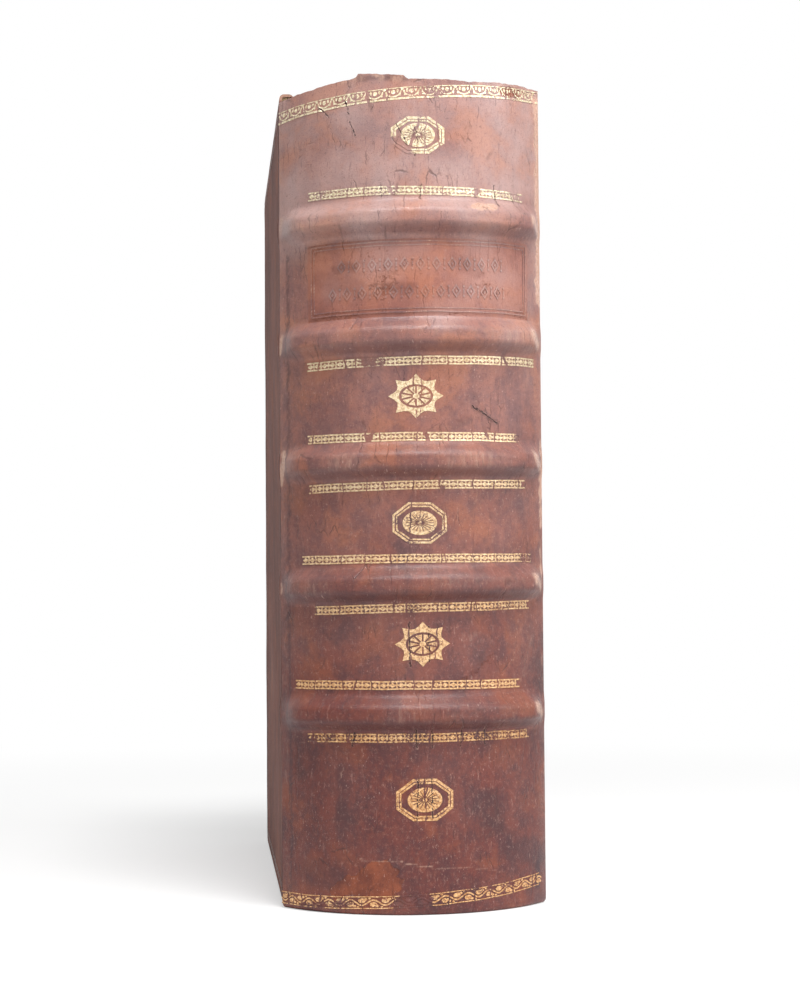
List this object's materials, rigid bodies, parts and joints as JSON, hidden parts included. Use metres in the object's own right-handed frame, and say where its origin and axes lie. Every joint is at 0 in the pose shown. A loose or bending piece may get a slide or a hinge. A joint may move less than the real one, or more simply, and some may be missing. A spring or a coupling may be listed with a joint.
{
  "type": "antique dictionary",
  "caption": "Thick antique dictionary in full calf with a rounded spine, raised bands, gilt tooling and two hinged covers, standing on its tail edge.",
  "frame": {"origin": "middle of the base of the overall box, on the surface the book stands on", "axes": "+Z from tail to head, -Y towards the spine, +X through the front cover"},
  "size_m": [0.0836, 0.2092, 0.2602],
  "materials": {
    "leaves": "aged laid paper, edges sprinkled red",
    "cord": "hemp",
    "parchment": "matte",
    "endband": "worked thread",
    "calf": "polished, worn and crackled",
    "label": "polished, rubbed",
    "endpaper": "marbled",
    "pasteboard": "matte"
  },
  "bodies": {
    "book_block": {"text_block": "leaves", "sewing_cord_1": "cord", "sewing_cord_2": "cord", "sewing_cord_3": "cord", "sewing_cord_4": "cord", "sewing_cord_5": "cord", "spine_lining_1": "parchment", "spine_lining_2": "parchment", "spine_lining_3": "parchment", "spine_lining_4": "parchment", "spine_lining_5": "parchment", "spine_lining_6": "parchment", "head_endband": "endband", "tail_endband": "endband", "spine_leather": "calf", "title_label": "label", "front_flyleaf": "endpaper", "back_flyleaf": "endpaper"},
    "front_cover": {"front_board": "pasteboard", "front_leather": "calf", "front_cord_slips": "cord", "front_pastedown": "endpaper"},
    "back_cover": {"back_board": "pasteboard", "back_leather": "calf", "back_cord_slips": "cord", "back_pastedown": "endpaper"}
  },
  "joints": [
    {"name": "front_cover_hinge", "type": "hinge", "parent": "book_block", "child": "front_cover", "pos_m": [0.0418, -0.07737, 0.129], "axis": [0, 0, -1], "range_deg": [0, 120]},
    {"name": "back_cover_hinge", "type": "hinge", "parent": "book_block", "child": "back_cover", "pos_m": [-0.0418, -0.07737, 0.129], "axis": [0, 0, 1], "range_deg": [0, 120]}
  ]
}
